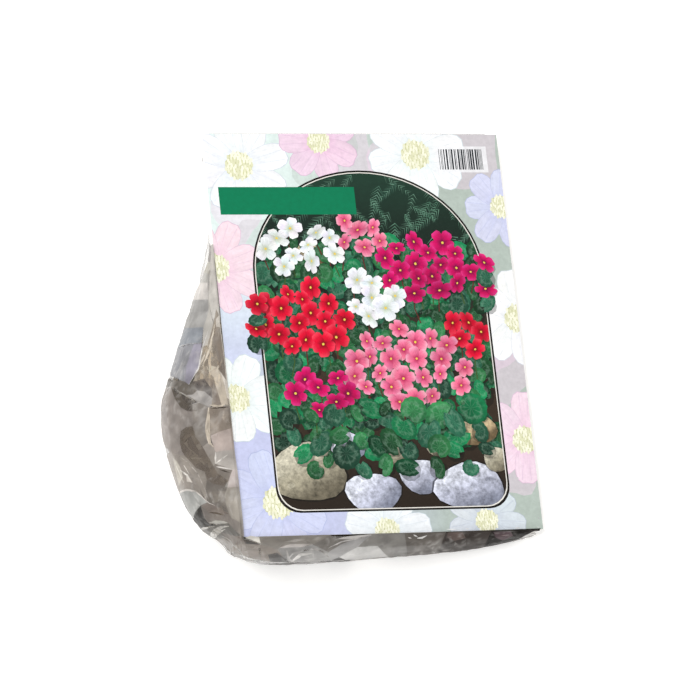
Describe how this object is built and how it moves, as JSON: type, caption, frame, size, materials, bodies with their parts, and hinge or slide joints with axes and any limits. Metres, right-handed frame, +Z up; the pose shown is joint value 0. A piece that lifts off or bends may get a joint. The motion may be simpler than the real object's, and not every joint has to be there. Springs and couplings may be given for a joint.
{
  "type": "bag of flower corms",
  "caption": "Clear crinkled film bag of dormant flower corms bedded in wood shavings, with a printed card inside its front, lying on its back.",
  "frame": {"origin": "middle of the bag's flat underside, on the surface that the pack lies on", "axes": "+X across the card towards its low edge, +Y up the card towards its top edge, +Z up from the surface"},
  "size_m": [0.1898, 0.2198, 0.058],
  "materials": {
    "clear_film": "clear polypropylene film, crinkled, with soft glints along its creases",
    "printed_card": "white board, printed in pastel colours with a varnished picture panel",
    "corm_skin": "dry, dark brown corky skin with fine cracks",
    "wood_shavings": "dry, dull tan softwood shavings"
  },
  "bodies": {
    "root": {"bag_film": "clear_film", "wood_shavings": "wood_shavings", "corm_1": "corm_skin", "corm_2": "corm_skin", "corm_3": "corm_skin", "corm_4": "corm_skin", "corm_5": "corm_skin", "printed_card": "printed_card"}
  },
  "joints": []
}
